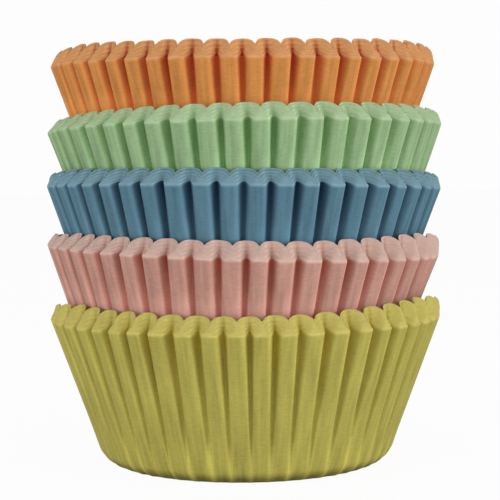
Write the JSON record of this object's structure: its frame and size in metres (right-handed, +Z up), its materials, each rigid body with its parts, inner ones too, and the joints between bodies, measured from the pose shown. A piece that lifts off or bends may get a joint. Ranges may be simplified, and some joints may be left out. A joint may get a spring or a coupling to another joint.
{
  "type": "stack of cupcake liners",
  "caption": "Tower of pleated paper cupcake liners, nested in bundles of orange, green, blue, pink and yellow, each bundle resting in the rim of the one below.",
  "frame": {"origin": "on the surface that the tower stands on, under the middle of its rims", "axes": "+Z up along the tower, -Y towards the viewer of the front, +X to that viewer's right"},
  "size_m": [0.0763, 0.0764, 0.0797],
  "materials": {
    "orange_paper": "matt uncoated dyed paper, cut edges lighter",
    "green_paper": "matt uncoated dyed paper, cut edges lighter",
    "blue_paper": "matt uncoated dyed paper, cut edges lighter",
    "pink_paper": "matt uncoated dyed paper, cut edges lighter",
    "yellow_paper": "matt uncoated dyed paper, cut edges lighter"
  },
  "bodies": {
    "root": {"yellow_liner_1": "yellow_paper", "yellow_liner_2": "yellow_paper", "yellow_liner_3": "yellow_paper", "yellow_liner_4": "yellow_paper", "yellow_liner_5": "yellow_paper", "pink_liner_1": "pink_paper", "pink_liner_2": "pink_paper", "pink_liner_3": "pink_paper", "pink_liner_4": "pink_paper", "pink_liner_5": "pink_paper", "blue_liner_1": "blue_paper", "blue_liner_2": "blue_paper", "blue_liner_3": "blue_paper", "blue_liner_4": "blue_paper", "blue_liner_5": "blue_paper", "green_liner_1": "green_paper", "green_liner_2": "green_paper", "green_liner_3": "green_paper", "green_liner_4": "green_paper", "green_liner_5": "green_paper", "orange_liner_1": "orange_paper", "orange_liner_2": "orange_paper", "orange_liner_3": "orange_paper", "orange_liner_4": "orange_paper", "orange_liner_5": "orange_paper"}
  },
  "joints": []
}
